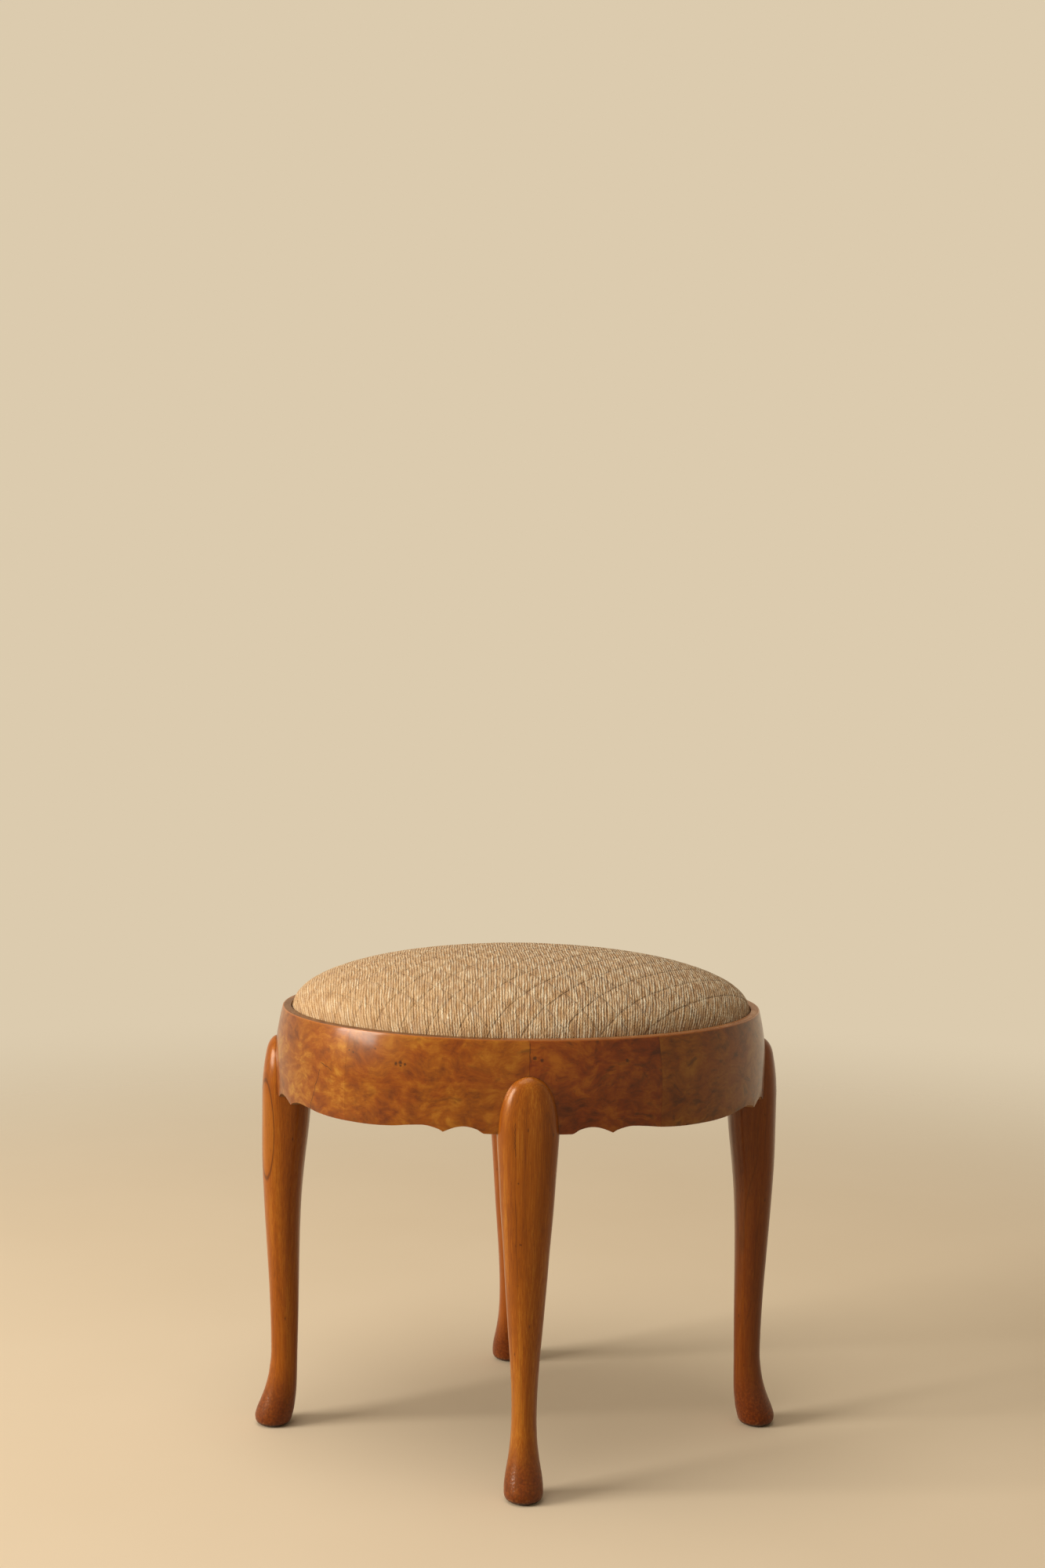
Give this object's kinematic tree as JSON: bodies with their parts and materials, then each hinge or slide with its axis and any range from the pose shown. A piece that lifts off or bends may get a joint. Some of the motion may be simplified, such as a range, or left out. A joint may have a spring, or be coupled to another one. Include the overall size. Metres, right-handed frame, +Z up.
{
  "type": "stool",
  "caption": "Oval stool with a domed drop-in seat in a veneered walnut drum frieze with a scalloped lower edge, on tapering legs with club feet.",
  "frame": {"origin": "on the floor under the middle of the oval frieze", "axes": "+Z up, +X along the long axis towards the right-hand leg, -Y towards the front leg"},
  "size_m": [0.5318, 0.4368, 0.4863],
  "materials": {
    "walnut": "solid walnut, stained and french-polished to a satin gloss",
    "burr_walnut": "burr walnut veneer, french-polished",
    "beech": "planed beech, unpolished",
    "screw_steel": "plain steel, dulled",
    "cover_cloth": "cream ribbed chenille with a sewn diamond grid",
    "wadding": "cotton felt",
    "stuffing": "curled hair pad",
    "jute": "woven jute",
    "cambric": "black cambric, close plain weave"
  },
  "bodies": {
    "frame": {"leg_right": "walnut", "leg_back": "walnut", "leg_left": "walnut", "leg_front": "walnut", "leg_screw_right_1": "screw_steel", "leg_screw_right_2": "screw_steel", "leg_screw_back_1": "screw_steel", "leg_screw_back_2": "screw_steel", "leg_screw_left_1": "screw_steel", "leg_screw_left_2": "screw_steel", "leg_screw_front_1": "screw_steel", "leg_screw_front_2": "screw_steel", "frieze_rail_right_to_back": "beech", "frieze_rail_back_to_left": "beech", "frieze_rail_left_to_front": "beech", "frieze_rail_front_to_right": "beech", "burr_veneer_1": "burr_walnut", "burr_veneer_2": "burr_walnut", "burr_veneer_3": "burr_walnut", "burr_veneer_4": "burr_walnut", "burr_veneer_5": "burr_walnut", "burr_veneer_6": "burr_walnut", "burr_veneer_7": "burr_walnut", "burr_veneer_8": "burr_walnut", "rim_lipping_1": "walnut", "rim_lipping_2": "walnut", "rim_lipping_3": "walnut", "rim_lipping_4": "walnut"},
    "seat": {"seat_rail_1": "beech", "seat_rail_2": "beech", "seat_rail_3": "beech", "seat_rail_4": "beech", "webbing_long_1": "jute", "webbing_long_2": "jute", "webbing_long_3": "jute", "webbing_cross_1": "jute", "webbing_cross_2": "jute", "webbing_cross_3": "jute", "webbing_cross_4": "jute", "hessian": "jute", "stuffing_pad": "stuffing", "wadding": "wadding", "seat_cover": "cover_cloth", "dust_cover": "cambric"}
  },
  "joints": [
    {"name": "seat_lift", "type": "slide", "parent": "frame", "child": "seat", "axis": [0, 0, 1], "range_m": [0, 0.08]}
  ]
}
